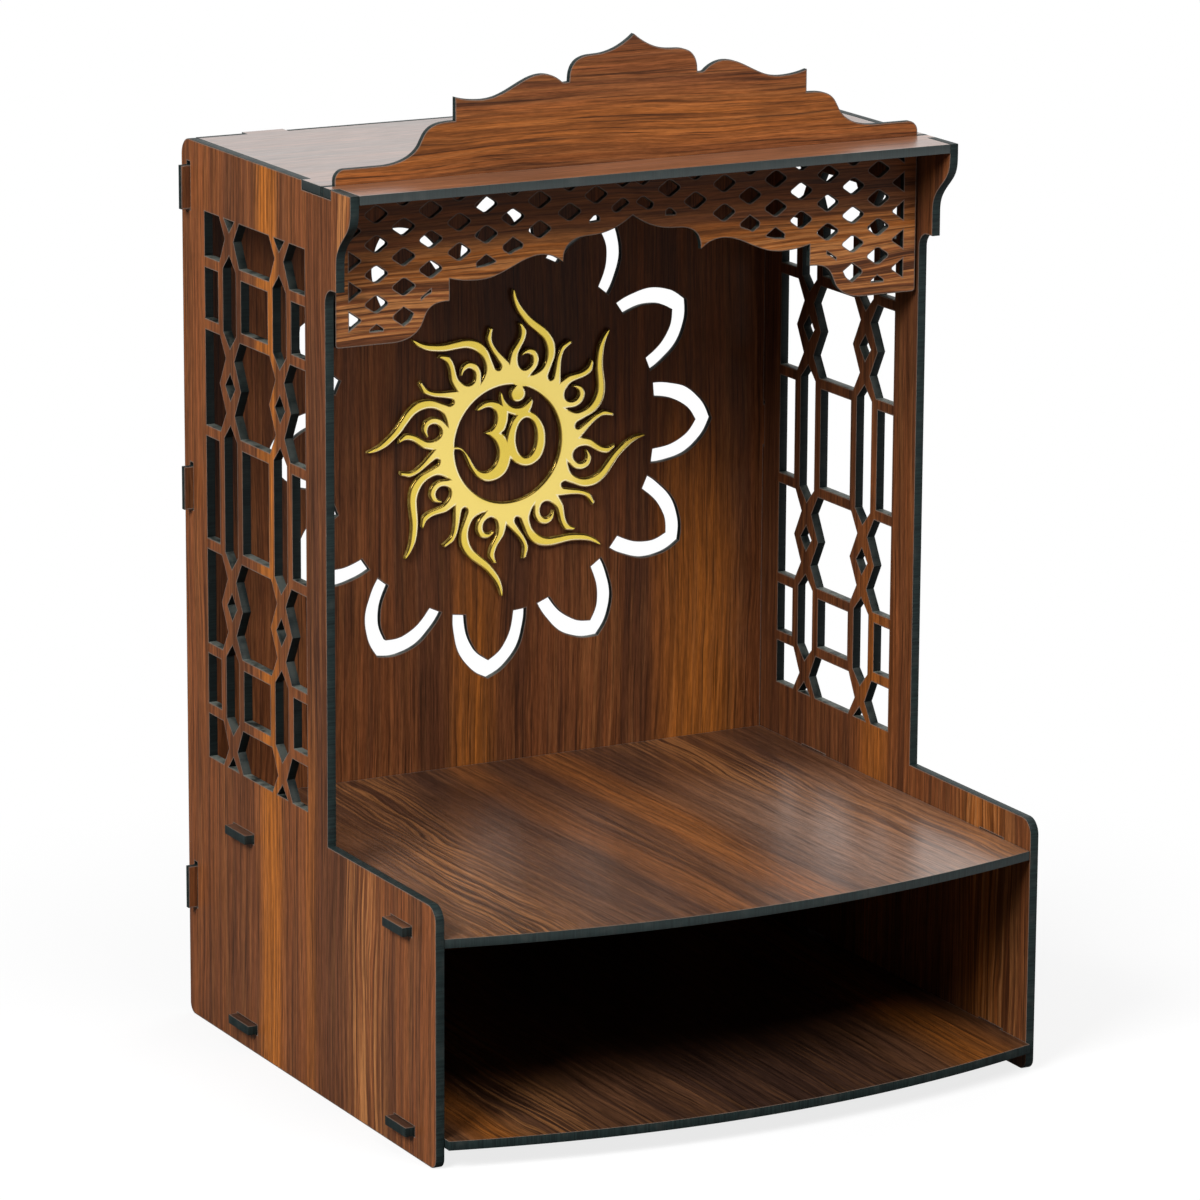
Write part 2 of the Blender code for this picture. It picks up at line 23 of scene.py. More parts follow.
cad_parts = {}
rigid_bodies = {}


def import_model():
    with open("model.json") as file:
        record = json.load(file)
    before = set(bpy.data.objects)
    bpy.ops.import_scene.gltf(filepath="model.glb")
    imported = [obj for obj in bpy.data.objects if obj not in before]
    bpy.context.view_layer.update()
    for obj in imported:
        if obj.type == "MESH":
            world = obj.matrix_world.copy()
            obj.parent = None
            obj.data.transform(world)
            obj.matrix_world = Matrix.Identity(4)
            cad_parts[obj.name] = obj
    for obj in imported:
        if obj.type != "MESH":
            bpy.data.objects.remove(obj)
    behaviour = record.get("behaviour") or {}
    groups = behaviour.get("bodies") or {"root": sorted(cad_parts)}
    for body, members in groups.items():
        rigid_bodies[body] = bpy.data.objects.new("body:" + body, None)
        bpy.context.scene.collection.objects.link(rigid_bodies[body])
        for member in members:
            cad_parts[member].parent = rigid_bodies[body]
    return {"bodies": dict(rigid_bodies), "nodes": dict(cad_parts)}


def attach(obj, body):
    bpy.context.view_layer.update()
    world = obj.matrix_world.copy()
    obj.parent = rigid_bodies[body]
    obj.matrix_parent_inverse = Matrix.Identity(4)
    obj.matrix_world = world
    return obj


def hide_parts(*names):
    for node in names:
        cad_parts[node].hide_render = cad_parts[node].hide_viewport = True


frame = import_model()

LOG = logging.getLogger("mandir")
MM = 0.001
METRE = 1000.0  # In millimetres.
HAIR = 1e-5  # Metres: closer places count as one.
FAR = 1.0  # Metres that nothing here reaches.
DIGITS = 7  # Decimals of a metre to which corners are merged.
PARALLEL = 1e-12  # Least cross product of two lines that meet.
STRAIGHT = 0.99999  # Cosine: closer directions count as one.
INSIDE, NEAR = 1, 1e-9  # Kind and tolerance of a triangulation.
SMOOTH_ANGLE = math.radians(30.0)
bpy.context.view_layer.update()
SUN_CENTRE = (10.2, 313.6)  # Millimetres in the frame, x and z.
WHITE = (1.0, 1.0, 1.0)
COOL_BROWN = (0.155, 0.066, 0.031)
Socket = bpy.types.NodeSocket
Value = "float | Socket"
Spot = tuple[float, float]
Place = tuple[float, float, float]
Colour = tuple[float, float, float]
Marks = dict[str, np.ndarray]


class Axis(Enum):
    """Directions of the frame, by their place in a vector."""

    X = 0
    Y = 1
    Z = 2

    def plane(self) -> list[int]:
        """Places in a vector of the two directions that follow this one in turn."""
        return [(self.value + 1) % 3, (self.value + 2) % 3]


class Lay(Enum):
    """How a board lies, by the directions across and along its grain."""

    SIDE = (Axis.Y, Axis.Z)
    BACK = (Axis.X, Axis.Z)
    FRONT = (Axis.Z, Axis.X)
    TOP = (Axis.Y, Axis.X)
    SHELF = (Axis.X, Axis.Y)

    @property
    def thin(self) -> Axis:
        """Direction of the board's thickness."""
        return Axis(3 - sum(axis.value for axis in self.value))


def hermite(t: np.ndarray, start: np.ndarray, leaving: np.ndarray, end: np.ndarray,
            arriving: np.ndarray) -> np.ndarray:
    """Two points and their headings, each weighted by its cubic of the share t of the way."""
    return ((2 * t ** 3 - 3 * t ** 2 + 1) * start + (t ** 3 - 2 * t ** 2 + t) * leaving
            + (3 * t ** 2 - 2 * t ** 3) * end + (t ** 3 - t ** 2) * arriving)


def cross(a: np.ndarray, b: np.ndarray) -> np.ndarray:
    """Cross products of vectors in a plane."""
    return a[..., 0] * b[..., 1] - a[..., 1] * b[..., 0]


def lengths(vectors: np.ndarray) -> np.ndarray:
    """Length of each row, as a column."""
    return np.linalg.norm(vectors, axis=1, keepdims=True)


@dataclass
class Outline:
    """Closed loops in a plane, each with the material on its left.

    Attributes:
        points: Places in the plane, one row each, in metres.
        after: For each point, the row of the point that follows it.
    """

    points: np.ndarray
    after: np.ndarray

    @property
    def before(self) -> np.ndarray:
        """For each point, the row of the point that it follows."""
        before = np.empty_like(self.after)
        before[self.after] = np.arange(len(self.after))
        return before

    @staticmethod
    def of_loops(loops: Sequence[np.ndarray]) -> "Outline":
        """Join loops that are given in order.

        Args:
            loops: Each loop's points, counterclockwise for an outer edge and clockwise for a
                hole.

        Returns:
            The outline that they make together.
        """
        sizes = [len(loop) for loop in loops]
        starts = np.concatenate([[0], np.cumsum(sizes)[:-1]])
        after = [start + (np.arange(size) + 1) % size for start, size in zip(starts, sizes)]
        return Outline(np.concatenate(loops), np.concatenate(after))

    def softened(self, steps: int = 3, corner: float = 75.0, bend: float = 28.0,
                 short: float = 3.2, uneven: float = 2.6) -> "Outline":
        """Carry a cubic along every chord that belongs to a curve.

        Where two chords of like length meet at a slight turn they belong to one curve, whose
        heading there is each chord's direction weighted by the other's length, as on a
        circle. Beside a much longer chord the heading is that chord's own, and at a corner
        each chord keeps its own. A chord then becomes the Hermite cubic between the
        headings at its two ends.

        Args:
            steps: Pieces that a curved chord is cut into.
            corner: Turn in degrees above which two chords always meet at a corner.
            bend: Turn above which they do so where neither is short.
            short: Most millimetres of a short chord.
            uneven: Times its neighbour's length at which a chord is much longer.

        Returns:
            The finer outline.
        """
        chord = self.points[self.after] - self.points
        length = lengths(chord)
        ahead = chord / length
        behind, length_behind = ahead[self.before], length[self.before]
        turn = np.degrees(np.arccos(np.clip((ahead * behind).sum(1), -1.0, 1.0)))
        shorter = np.minimum(length, length_behind)[:, 0]
        sharp = (turn > corner) | ((turn > bend) & (shorter > short * MM))
        heading = ahead * length_behind + behind * length
        heading = np.where(length > uneven * length_behind, ahead, heading)
        heading = np.where(length_behind > uneven * length, behind, heading)
        heading /= lengths(heading)
        leaving = np.where(sharp[:, None], ahead, heading)
        arriving = np.where(sharp[:, None], behind, heading)[self.after]
        curved = np.minimum((leaving * ahead).sum(1), (arriving * ahead).sum(1)) < STRAIGHT
        counts = np.where(curved, steps, 1)
        starts = np.concatenate([[0], np.cumsum(counts)[:-1]])
        row = np.repeat(np.arange(len(counts)), counts)
        local = np.arange(counts.sum()) - starts[row]
        points = hermite((local / counts[row])[:, None], self.points[row],
                         (length * leaving)[row], self.points[self.after][row],
                         (length * arriving)[row])
        last = local == counts[row] - 1
        after = np.where(last, starts[self.after[row]], np.arange(len(row)) + 1)
        return Outline(points, after)

    def interrupted(self, path: np.ndarray) -> "Outline":
        """Let a path break into the loop that it starts and ends on.

        The outline's points in the path's mouth, which are those nearer to the middle
        between its two ends than the ends are, give way to the path.

        Args:
            path: The path's points in order, with the material on its left.

        Returns:
            The joined outline.
        """
        middle = path[[0, -1]].mean(0)
        gone = (lengths(self.points - middle) < lengths(path[:1] - middle))[:, 0]
        leaves = np.flatnonzero(~gone & gone[self.after])[0]
        meets = np.flatnonzero(~gone & gone[self.before])[0]
        number = np.cumsum(~gone) - 1
        after = number[self.after]
        after[leaves] = number[-1] + 1
        along = number[-1] + 2 + np.arange(len(path))
        along[-1] = number[meets]
        return Outline(np.concatenate([self.points[~gone], path]),
                       np.concatenate([after[~gone], along]))

    def with_loops(self, loops: Sequence[np.ndarray]) -> "Outline":
        """The outline together with more loops."""
        more = Outline.of_loops(loops)
        return Outline(np.concatenate([self.points, more.points]),
                       np.concatenate([self.after, more.after + len(self.after)]))

    def of_holes(self) -> np.ndarray:
        """Whether each point lies on a hole's edge.

        Each point takes the lowest number that it meets, in jumps that double along its loop,
        so that a loop's points share one number. A loop whose summed cross products are
        negative runs clockwise and is a hole.
        """
        label, jump = np.arange(len(self.after)), self.after
        for _ in range(int(len(label)).bit_length()):
            label = np.minimum(label, label[jump])
            jump = jump[jump]
        turn = cross(self.points, self.points[self.after])
        return np.bincount(label, turn, len(label))[label] < 0.0

    def inward(self, limit: float = 2.6, least: float = 1e-3) -> np.ndarray:
        """Step towards the material that keeps both neighbouring sides one unit away.

        It is the sum of the two sides' normals over one plus their product, as at a mitre.

        Args:
            limit: Longest step allowed at a sharp point.
            least: Least divisor, where the outline turns right back.

        Returns:
            One step for each point.
        """
        chord = self.points[self.after] - self.points
        chord /= lengths(chord)
        normal = np.stack([-chord[:, 1], chord[:, 0]], 1)
        last = normal[self.before]
        share = 1.0 + (normal * last).sum(1, keepdims=True)
        step = (normal + last) / np.maximum(share, least)
        return step * np.minimum(1.0, limit / lengths(step))

    def facing(self) -> np.ndarray:
        """Direction away from the material for the side that follows each point."""
        chord = self.points[self.after] - self.points
        return chord[:, ::-1] * (1, -1) / lengths(chord)

    def outward(self) -> np.ndarray:
        """Direction away from the material at each point, of length one."""
        step = self.inward()
        return -step / lengths(step)

    def room(self, rounds: int = 3) -> np.ndarray:
        """Free way inward from each point to the far side of the material.

        The ray from a point along its step inward meets a side where the two lines' cross
        products give a place within the side and ahead of the point. The room is the least
        such distance, or that of a near neighbour where it is less, evened along the loop.

        Args:
            rounds: Points up to a near neighbour, and times that the way is evened.

        Returns:
            One distance for each point.
        """
        step = -self.outward()[:, None]
        side = (self.points[self.after] - self.points)[None]
        off = self.points[None] - self.points[:, None]
        turn = cross(step, side)
        turn = np.where(np.abs(turn) < PARALLEL, PARALLEL, turn)
        ahead, along = cross(off, side) / turn, cross(off, step) / turn
        meets = (along >= 0.0) & (along <= 1.0) & (ahead > HAIR)
        room = np.where(meets, ahead, FAR).min(1)
        for _ in range(rounds):
            room = np.minimum(room, np.minimum(room[self.after], room[self.before]))
        for _ in range(rounds):
            room = (room + room[self.after] + room[self.before]) / 3.0
        return room

    def holds(self, spots: np.ndarray) -> np.ndarray:
        """Whether spots lie in the material.

        A level ray from such a spot crosses the loops an odd number of times.

        Args:
            spots: Places in the plane, one row each.

        Returns:
            True or False for each spot.
        """
        start, end = self.points, self.points[self.after]
        x, y = spots[:, :1], spots[:, 1:]
        spans = (start[:, 1] > y) != (end[:, 1] > y)
        rise = np.where(start[:, 1] == end[:, 1], 1.0, end[:, 1] - start[:, 1])
        meets = start[:, 0] + (y - start[:, 1]) * (end[:, 0] - start[:, 0]) / rise
        return (spans & (x < meets)).sum(1) % 2 == 1

    def filled(self) -> np.ndarray:
        """Triangles that cover the material, counterclockwise, as rows of point numbers."""
        sides = np.stack([np.arange(len(self.after)), self.after], 1)
        corners = [Vector(point) for point in self.points.tolist()]
        made = delaunay_2d_cdt(corners, sides.tolist(), [], INSIDE, NEAR)
        source = np.array([origins[0] if origins else -1 for origins in made[3]])
        triangles = source[np.array(made[2])]
        triangles = triangles[(triangles >= 0).all(1)]
        return triangles[self.holds(self.points[triangles].mean(1))]


def curve(points: Sequence[Spot], steps: int = 4) -> np.ndarray:
    """Smooth curve through points.

    The heading at an inner point is that of the chord between its two neighbours, in
    proportion to the chord that is drawn, and at an end that of the end chord. Each chord is
    the Hermite cubic between the two headings.

    Args:
        points: The points that the curve goes through.
        steps: Pieces that each chord is cut into.

    Returns:
        The curve's points, without the last one.
    """
    given = np.array(points, float)
    chord = np.diff(given, axis=0)
    length = lengths(chord)
    heading = np.concatenate([chord[:1], given[2:] - given[:-2], chord[-1:]])
    heading /= lengths(heading)
    return hermite(np.arange(steps)[None, :, None] / steps, given[:-1, None],
                   (length * heading[:-1])[:, None], given[1:, None],
                   (length * heading[1:])[:, None]).reshape(-1, 2)


def arc(centre: Spot, radius: Spot, turn: Spot, steps: int) -> np.ndarray:
    """Points of an ellipse's arc between two angles in degrees, by their cosine and sine."""
    angle = np.radians(np.linspace(*turn, steps + 1))
    return np.array(centre) + np.array(radius) * np.stack([np.cos(angle), np.sin(angle)], 1)


@dataclass
class CutEdge:
    """Profile that the laser leaves round a sheet.

    Attributes:
        rim: Width of the scorched band on the face, in millimetres.
        ease: Radius of the rounded corner, in millimetres.
        steps: Flats that the corner is made of.
        share: Most of the room that the rim takes, where the material is narrow.
    """

    rim: float = 0.9
    ease: float = 0.2
    steps: int = 2
    share: float = 0.4

    def rows(self, thickness: float) -> np.ndarray:
        """Profile from one face to the other.

        The corner is a quarter circle: at each angle the distance in is the radius less its
        sine part, and the depth is the radius less its cosine part.

        Args:
            thickness: The sheet's thickness in metres.

        Returns:
            Rows of distance in from the outline, depth below the first face, and the burn,
            which is 0 on the clean face, 1 where the corner starts and 2 on the wall.
        """
        turn = np.linspace(0.0, 1.0, self.steps + 1)
        inset = self.ease * MM * (1.0 - np.sin(turn * math.pi / 2))
        depth = self.ease * MM * (1.0 - np.cos(turn * math.pi / 2))
        half = np.concatenate([[(self.rim * MM, 0.0, 0.0)],
                               np.stack([inset, depth, 1.0 + turn], 1)])
        back = half[::-1] * (1, -1, 1) + (0, thickness, 0)
        return np.concatenate([half, back])


def added(name: str, data: bpy.types.ID) -> bpy.types.Object:
    """New object in the scene, with its data."""
    item = bpy.data.objects.new(name, data)
    bpy.context.scene.collection.objects.link(item)
    return item


@dataclass
class PackedBoard:
    """A flat board of the frame.

    Attributes:
        thin: Direction of its thickness.
        outline: Its outline, in the plane of the two directions that follow the thin one.
        low: Place of one face along the thin direction, in metres.
        high: Place of the other.
    """

    thin: Axis
    outline: Outline
    low: float
    high: float

    @staticmethod
    def read(node: str) -> "PackedBoard":
        """Take a board's outline from its node.

        One face is made of the triangles that lie whole in the highest plane along the thin
        direction. A side that only one of them uses is part of the outline.

        Args:
            node: The node's name in the frame.

        Returns:
            The board.
        """
        mesh = frame["nodes"][node].data
        places = np.empty(len(mesh.vertices) * 3)
        mesh.vertices.foreach_get("co", places)
        corners = np.empty(len(mesh.loops), int)
        mesh.loops.foreach_get("vertex_index", corners)
        spots, merged = np.unique(np.round(places.reshape(-1, 3), DIGITS), axis=0,
                                  return_inverse=True)
        triangles = merged.reshape(-1)[corners].reshape(-1, 3)
        thin = Axis(int(np.argmin(np.ptp(spots, axis=0))))
        level = spots[:, thin.value]
        face = triangles[(level[triangles] > level.max() - HAIR).all(1)]
        sides = np.concatenate([face[:, [0, 1]], face[:, [1, 2]], face[:, [2, 0]]])
        count = len(spots)
        outer = ~np.isin(sides[:, 0] * count + sides[:, 1], sides[:, 1] * count + sides[:, 0])
        used, rim = np.unique(sides[outer], return_inverse=True)
        start, end = rim.reshape(-1, 2).T
        after = np.empty(len(used), int)
        after[start] = end
        return PackedBoard(thin, Outline(spots[used][:, thin.plane()], after),
                           float(level.min()), float(level.max()))

    def upward(self) -> np.ndarray:
        """The share of z in each of the two directions of the board's plane."""
        return np.array([place == Axis.Z.value for place in self.thin.plane()], float)

    def sheet(self, name: str, outline: Outline, edge: CutEdge, marks: Marks,
              side_marks: Marks) -> bpy.types.Object:
        """Carry an edge profile along an outline and fill both faces.

        Point i of row r lies at the outline's point plus the row's distance times the step
        inward, at the row's depth below the first face. Where the material is narrow, the
        distance is no more than a share of the room. Neighbouring rows and points make the
        walls.

        Args:
            name: The new object's name.
            outline: The finished outline.
            edge: The profile.
            marks: Numbers for the outline's points, by the attribute that keeps them.
            side_marks: The same for the wall that follows each point.

        Returns:
            The new object, which keeps the burn too.
        """
        rows = edge.rows(self.high - self.low)
        count = len(outline.points)
        inset = np.minimum(rows[:, 0, None], edge.share * outline.room()[None])
        flat = outline.points[None] + inset[..., None] * outline.inward()[None]
        places = np.empty((len(rows), count, 3))
        places[..., self.thin.plane()] = flat
        places[..., self.thin.value] = self.high - rows[:, 1, None]
        here, following = np.arange(count), outline.after
        level = np.arange(len(rows) - 1)[:, None] * count
        walls = np.stack([level + here, level + count + here, level + count + following,
                          level + following], -1).reshape(-1, 4)
        cover = Outline(flat[0], following).filled()
        below = cover[:, ::-1] + (len(rows) - 1) * count
        mesh = bpy.data.meshes.new(name)
        mesh.from_pydata(places.reshape(-1, 3).tolist(), [],
                         walls.tolist() + cover.tolist() + below.tolist())
        kept = [(key, "POINT", np.tile(values, len(rows))) for key, values in marks.items()]
        kept.append(("burn", "POINT", np.repeat(rows[:, 2], count)))
        blank = np.zeros(len(cover) + len(below))
        kept += [(key, "FACE", np.concatenate([np.tile(values, len(rows) - 1), blank]))
                 for key, values in side_marks.items()]
        for key, domain, values in kept:
            attribute = mesh.attributes.new(key, "FLOAT", domain)
            attribute.data.foreach_set("value", values.astype(np.float32))
        mesh.polygons.foreach_set("use_smooth", np.ones(len(mesh.polygons), bool))
        mesh.set_sharp_from_angle(angle=SMOOTH_ANGLE)
        mesh.update()
        return added(name, mesh)


class Tree:
    """Nodes of a material or a world, with short calls that make them."""

    def __init__(self, owner: bpy.types.Material | bpy.types.World) -> None:
        """Open the owner's nodes."""
        owner.use_nodes = True
        self.owner = owner
        self.nodes = owner.node_tree.nodes
        self.links = owner.node_tree.links

    def put(self, socket: Socket, value: Value) -> None:
        """Set a socket to a number or colour, or link another socket to it."""
        if isinstance(value, bpy.types.NodeSocket):
            self.links.new(value, socket)
        elif isinstance(value, tuple) and len(value) == 3 and socket.type == "RGBA":
            socket.default_value = (*value, 1.0)
        else:
            socket.default_value = value

    def shade(self, key: str, value: Value) -> None:
        """Set one of the shader's own sockets."""
        self.put(self.nodes["Principled BSDF"].inputs[key], value)

    def node(self, kind: str, given: dict[int | str, Value], out: int | str = 0,
             **settings: str) -> Socket:
        """Make a node.

        Args:
            kind: Its kind.
            given: Values for its inputs, by their place or name.
            out: The output that is wanted.
            settings: Its own settings.

        Returns:
            That output.
        """
        node = self.nodes.new("ShaderNode" + kind)
        for key, value in settings.items():
            setattr(node, key, value)
        for key, value in given.items():
            self.put(node.inputs[key], value)
        return node.outputs[out]

    def math(self, kind: str, a: Value, b: Value = 0.0, c: Value = 0.0) -> Socket:
        """One Math node's result."""
        return self.node("Math", {0: a, 1: b, 2: c}, operation=kind)

    def times(self, a: Value, b: Value) -> Socket:
        """The product of two numbers."""
        return self.math("MULTIPLY", a, b)

    def line(self, value: Value, slope: Value, start: Value) -> Socket:
        """A number times a slope, plus a start."""
        return self.math("MULTIPLY_ADD", value, slope, start)

    def blend(self, share: Value, a: Value, b: Value, kind: str = "MIX") -> Socket:
        """Colour between a and b by a share."""
        return self.node("Mix", {0: share, 6: a, 7: b}, 2, data_type="RGBA", blend_type=kind)

    def between(self, value: Value, low: float, high: float, to_low: float = 0.0,
                to_high: float = 1.0) -> Socket:
        """Smooth step of a value from one range to another."""
        return self.node("MapRange", {0: value, 1: low, 2: high, 3: to_low, 4: to_high},
                         interpolation_type="SMOOTHSTEP")

    def noise(self, where: Socket, scale: float = 1.0, detail: float = 2.0,
              rough: float = 0.5) -> Socket:
        """Noise between 0 and 1 at a place."""
        return self.node("TexNoise", {"Vector": where, "Scale": scale, "Detail": detail,
                                      "Roughness": rough}, "Fac")

    def place(self) -> Socket:
        """Object coordinates."""
        return self.node("TexCoord", {}, "Object")

    def parts(self, vector: Socket) -> list[Socket]:
        """The three numbers of a vector."""
        node = self.nodes.new("ShaderNodeSeparateXYZ")
        self.put(node.inputs[0], vector)
        return list(node.outputs)

    def vector(self, x: Value, y: Value, z: Value = 0.0) -> Socket:
        """A vector of three numbers."""
        return self.node("CombineXYZ", {0: x, 1: y, 2: z})

    def attribute(self, name: str) -> Socket:
        """A piece's own attribute as a number."""
        return self.node("Attribute", {}, "Fac", attribute_name=name)

    def reach(self, a: Socket, b: Socket) -> Socket:
        """Root of the sum of two squares."""
        return self.math("SQRT", self.math("ADD", self.times(a, a), self.times(b, b)))

    def swing(self, noise: Socket, width: float) -> Socket:
        """Noise about its middle, made so wide."""
        return self.line(noise, width, -0.5 * width)

    def scaled(self, colour: Socket, factor: Socket) -> Socket:
        """A colour times a number."""
        return self.blend(1.0, colour, self.vector(factor, factor, factor), "MULTIPLY")

    def bump(self, height: Socket, distance: float, strength: float = 1.0) -> Socket:
        """Normal of a surface raised by a height, in metres."""
        return self.node("Bump", {"Height": height, "Distance": distance,
                                  "Strength": strength}, "Normal")


@dataclass(frozen=True)
class Band:
    """A band along the grain, for the printed figure and also for painted shade and painted
    glare.

    Attributes:
        centre: Where its middle lies across the grain, in millimetres in the frame.
        half: Half its width in millimetres.
        strength: How much of it shows.
        slant: How far it moves across the grain for each millimetre along it.
        span: Where along the grain it begins and ends, in millimetres in the frame.
        fade: Length over which it comes and goes.
    """

    centre: float
    half: float
    strength: float = 1.0
    slant: float = 0.0
    span: Spot = (-600.0, 900.0)
    fade: float = 60.0

    def mask(self, tree: Tree, across: Socket, along: Socket) -> Socket:
        """How much of the band shows at a place.

        It is the smooth fall from the middle to the sides, times the smooth coming and
        going along the grain.

        Args:
            tree: The material's tree.
            across: Distance across the grain in millimetres.
            along: Distance along it.

        Returns:
            A number between 0 and the band's strength.
        """
        off = tree.line(along, -self.slant, -self.centre)
        off = tree.math("ABSOLUTE", tree.math("ADD", across, off))
        mask = tree.between(off, 0.25 * self.half, 1.15 * self.half, self.strength, 0.0)
        begins = tree.between(along, self.span[0] - self.fade, self.span[0] + self.fade)
        ends = tree.between(along, self.span[1] - self.fade, self.span[1] + self.fade, 1.0, 0.0)
        return tree.times(mask, tree.times(begins, ends))


class Layer(Enum):
    """Layers of the print's noise.

    Each gives the noise's width and length in millimetres, its seed, detail and roughness.
    """

    SLOW = (120, 340, 3.1, 1, 0.5)
    QUICK = (24, 105, 7.7, 2, 0.5)
    BROAD = (19, 420, 11.3, 3, 0.5)
    STRIPE = (5.5, 460, 15.5, 2, 0.5)
    STREAK = (2.9, 130, 19.9, 2.5, 0.6)
    DARK = (1.35, 85, 23.7, 3, 0.6)
    LIGHT = (1.9, 120, 27.1, 2.5, 0.6)
    RIBBON = (1, 90, 29.5, 1, 0.5)
    FINE = (0.62, 15, 31.1, 2, 0.65)
    FIBRE = (0.36, 5, 41.9, 2, 0.5)


@dataclass(frozen=True)
class WalnutLaminate:
    """Dark walnut print under a satin coat, with scorched rims and charred cut edges.

    Attributes:
        lay: How the board lies.
        shift: Where on the big printed sheet the board was cut, in millimetres.
        wave: How far the grain sways, in millimetres.
        contrast: How strongly the dark lines show.
        ribbon: Width of the veins' light lines, in millimetres.
        glows: Amber bands.
        painted_glare_bands: Bands of painted glare, a pale veil over the print.
        veins: Groups of wavy light lines.
        dark_bands_and_painted_shade: Dark bands, of the print and of painted shade.
        painted_light_factor: Factor on the print's lightness, painted light above one and
            painted shade below.
        sheen: Gloss of the laminate itself.
        coat: Share of the clear satin coat.
        brown: The print's ground, with its other colours after it; painted_glare_tint is the
            colour of the painted glare.
        scorch: Darkest and lightest colour of the scorched rim.
        char: The same for the cut wall.
        smoke: Clouds on the wall.
        painted_sill_sheen: Painted sheen on the upward sills of holes.
        ragged: How far soot shifts the burn.
        soot_grain: Specks of soot in a metre, and so on for dust, smoke and lines.
        relief: Depth of fibres and cut lines, in millimetres.
    """

    lay: Lay
    shift: Spot = (0.0, 0.0)
    wave: float = 6.0
    contrast: float = 1.0
    ribbon: float = 3.1
    glows: tuple[Band, ...] = ()
    painted_glare_bands: tuple[Band, ...] = ()
    veins: tuple[Band, ...] = ()
    dark_bands_and_painted_shade: tuple[Band, ...] = ()
    painted_light_factor: float = 1.0
    sheen: float = 0.12
    coat: float = 0.0
    coat_roughness: float = 0.28
    brown: Colour = (0.195, 0.062, 0.0205)
    umber: Colour = (0.082, 0.030, 0.0145)
    amber: Colour = (0.38, 0.118, 0.018)
    honey: Colour = (0.46, 0.19, 0.062)
    painted_glare_tint: Colour = (0.36, 0.215, 0.145)
    ink: Colour = (0.020, 0.0085, 0.0060)
    scorch: tuple[Colour, Colour] = ((0.10, 0.062, 0.046), (0.26, 0.20, 0.165))
    char: tuple[Colour, Colour] = ((0.0075, 0.012, 0.0122), (0.018, 0.030, 0.029))
    smoke: Colour = (0.045, 0.05, 0.046)
    painted_sill_sheen: Colour = (0.11, 0.12, 0.105)
    ragged: float = 0.7
    soot_grain: float = 420.0
    dust_grain: float = 900.0
    smoke_grain: float = 110.0
    line_grain: Spot = (1400.0, 40.0)
    relief: float = 0.05

    def dress(self, name: str) -> bpy.types.Material:
        """Make the material.

        Args:
            name: The material's name.

        Returns:
            A material whose grain, rim and cut edge are procedural.
        """
        tree = Tree(bpy.data.materials.new(name))
        where = tree.place()
        print_colour, fibre = self.figure(tree, where)
        soot = tree.swing(tree.noise(where, self.soot_grain, 3.0), self.ragged)
        burn = tree.math("ADD", tree.attribute("burn"), soot)
        colour = tree.blend(tree.between(burn, 0.15, 0.6, 0.0, 0.8), print_colour,
                            tree.blend(tree.noise(where, self.dust_grain), *self.scorch))
        charred, lines = self.wall(tree, where)
        wall = tree.between(burn, 1.0, 1.5)
        tree.shade("Base Color", tree.blend(wall, colour, charred))
        tree.shade("Roughness", tree.line(wall, 0.1, tree.line(fibre, 0.16, 0.3)))
        tree.shade("Specular IOR Level", self.sheen)
        if self.coat > 0.0:
            smear = tree.between(fibre, 0.3, 0.7, 1.0, 0.72)
            coat = tree.line(wall, -self.coat, self.coat)
            tree.shade("Coat Weight", tree.times(coat, smear))
            tree.shade("Coat Roughness", self.coat_roughness)
        relief = tree.times(tree.math("SUBTRACT", 1.0, wall), fibre)
        relief = tree.line(wall, lines, relief)
        tree.shade("Normal", tree.bump(relief, self.relief * MM, 0.5))
        return tree.owner

    def figure(self, tree: Tree, where: Socket) -> tuple[Socket, Socket]:
        """Printed grain.

        The distance across the board is swayed by slow noise, and in the veins by quick
        noise too, so that every line flows with its neighbours. Noise that is stretched
        along the lines gives broad tones, streaks, thin dark lines and fibres, and noise
        above a level gives the light lines of the veins.

        Args:
            tree: The material's tree.
            where: Object coordinates.

        Returns:
            The print's colour, and its fibres as a number.
        """
        parts = tree.parts(where)
        x, y = (tree.times(parts[axis.value], METRE) for axis in self.lay.value)
        side = tree.times(parts[self.lay.thin.value], 90.0)

        def layer(kind: Layer, base: Socket, times: float = 1.0) -> Socket:
            """One layer of noise, across from a base, so many times its own size."""
            width, length, seed, detail, rough = kind.value
            width, length = width * times, length * times
            spot = tree.vector(tree.line(base, 1.0 / width, self.shift[0] / width),
                               tree.line(y, 1.0 / length, self.shift[1] / length + seed),
                               tree.math("ADD", side, seed))
            return tree.noise(spot, 1.0, detail, rough)

        def total(bands: Sequence[Band], across: Socket) -> Value:
            """How much of any of the bands shows."""
            share: Value = 0.0
            for band in bands:
                share = tree.math("MAXIMUM", band.mask(tree, across, y), share)
            return share

        slow, quick = layer(Layer.SLOW, x), layer(Layer.QUICK, x)
        swayed = tree.math("ADD", x, tree.swing(slow, 2.4 * self.wave))
        vein = total(self.veins, swayed)
        reach = tree.line(vein, 1.3 * self.wave, 0.9 * self.wave)
        line = tree.line(tree.math("SUBTRACT", quick, 0.5), reach, swayed)
        broad, stripe, streak, dark, light, fine = (
            layer(kind, line) for kind in (Layer.BROAD, Layer.STRIPE, Layer.STREAK,
                                           Layer.DARK, Layer.LIGHT, Layer.FINE))
        ribbon = layer(Layer.RIBBON, line, self.ribbon)
        fibre = layer(Layer.FIBRE, x)
